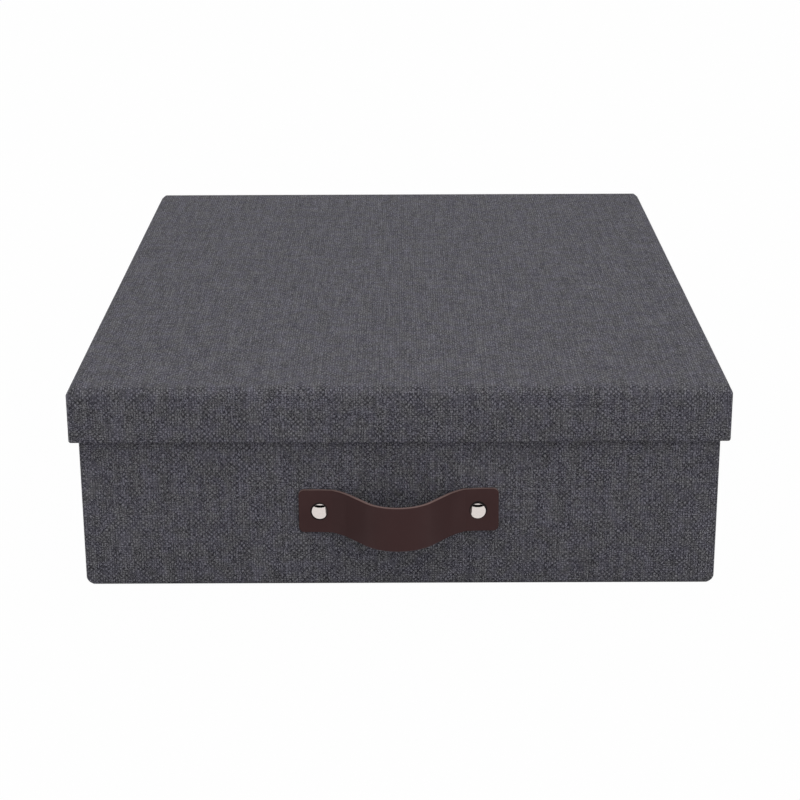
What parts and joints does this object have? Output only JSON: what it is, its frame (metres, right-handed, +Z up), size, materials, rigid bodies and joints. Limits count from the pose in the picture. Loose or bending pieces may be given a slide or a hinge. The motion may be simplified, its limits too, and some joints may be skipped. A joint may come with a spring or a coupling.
{
  "type": "document box with lift-off lid",
  "caption": "Shallow lidded document box for A4 paper, in linen-finish covered board, with a lift-off lid and a riveted leather pull strap on the front wall.",
  "frame": {"origin": "centre of the rectangle that the box stands on, under the middle of the box and its lid; the strap stands out in front and isn't counted", "axes": "+Z up, +Y towards the back of the box, away from the pull strap, +X to the right as seen from the front"},
  "size_m": [0.26, 0.3543, 0.085],
  "materials": {
    "board": "matte",
    "linen_paper": "matte",
    "liner_paper": "matte",
    "base_paper": "matte",
    "stay_tape": "matte",
    "leather": "satin",
    "rivet_nickel": "polished"
  },
  "bodies": {
    "box": {"box_board": "board", "box_wrap": "linen_paper", "box_liner": "liner_paper", "base_sheet": "base_paper", "box_stay_front_left": "stay_tape", "box_stay_front_right": "stay_tape", "box_stay_back_left": "stay_tape", "box_stay_back_right": "stay_tape", "handle_strap": "leather", "rivet_front_left": "rivet_nickel", "rivet_front_right": "rivet_nickel", "rivet_back_left": "rivet_nickel", "rivet_back_right": "rivet_nickel"},
    "lid": {"lid_board": "board", "lid_wrap": "linen_paper", "lid_liner": "liner_paper", "lid_stay_front_left": "stay_tape", "lid_stay_front_right": "stay_tape", "lid_stay_back_left": "stay_tape", "lid_stay_back_right": "stay_tape"}
  },
  "joints": [
    {"name": "lid_lift", "type": "slide", "parent": "box", "child": "lid", "axis": [0, 0, 1], "range_m": [0, 0.12]}
  ]
}
